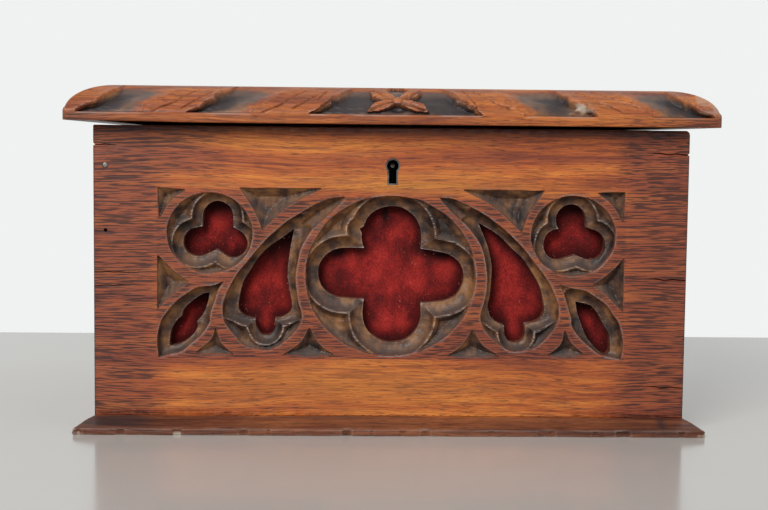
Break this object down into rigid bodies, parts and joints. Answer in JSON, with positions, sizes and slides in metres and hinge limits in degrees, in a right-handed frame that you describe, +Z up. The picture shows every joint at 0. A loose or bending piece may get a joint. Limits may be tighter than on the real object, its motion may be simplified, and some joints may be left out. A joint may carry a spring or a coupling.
{
  "type": "letter box",
  "caption": "Carved oak letter box with a hinged lid, pierced Gothic tracery over red velvet, and a box lock.",
  "frame": {"origin": "centre of the box's footprint, on the underside of the bottom board", "axes": "+X to the right seen from the front, +Y from the front to the back, +Z up"},
  "size_m": [0.326, 0.2141, 0.1748],
  "materials": {
    "carved_oak": "waxed, stained brown in the carving",
    "plain_oak": "waxed",
    "pine": "sawn",
    "red_velvet": "velvet pile",
    "iron": "darkened",
    "brass": "aged",
    "lock_steel": "dull"
  },
  "bodies": {
    "root": {"front_panel": "carved_oak", "left_side": "plain_oak", "right_side": "plain_oak", "back_panel": "plain_oak", "bottom_board": "plain_oak", "base_strip": "carved_oak", "velvet_lining": "red_velvet", "backing_board": "pine", "velvet_tacks": "iron", "front_nails": "iron", "back_nails": "iron", "bottom_nails": "iron", "strip_pins": "iron", "left_hinge_box_leaf": "brass", "right_hinge_box_leaf": "brass", "left_hinge_pin": "brass", "right_hinge_pin": "brass", "hinge_box_screws": "iron", "lock_case": "lock_steel", "lock_cap": "lock_steel", "lock_drill_pin": "lock_steel", "lock_screws": "iron", "keyhole_escutcheon": "lock_steel"},
    "lid": {"lid": "carved_oak", "left_hinge_lid_leaf": "brass", "right_hinge_lid_leaf": "brass", "hinge_lid_screws": "iron", "link_plate": "lock_steel", "link_screws": "iron"},
    "bolt": {"lock_bolt": "lock_steel", "lock_spring": "lock_steel"}
  },
  "joints": [
    {"name": "lid_hinge", "type": "hinge", "parent": "root", "child": "lid", "pos_m": [0, 0.1007, 0.1555], "axis": [-1, 0, 0], "range_deg": [0, 100]},
    {"name": "lock_bolt_slide", "type": "slide", "parent": "root", "child": "bolt", "axis": [1, 0, 0], "range_m": [0, 0.005]}
  ]
}
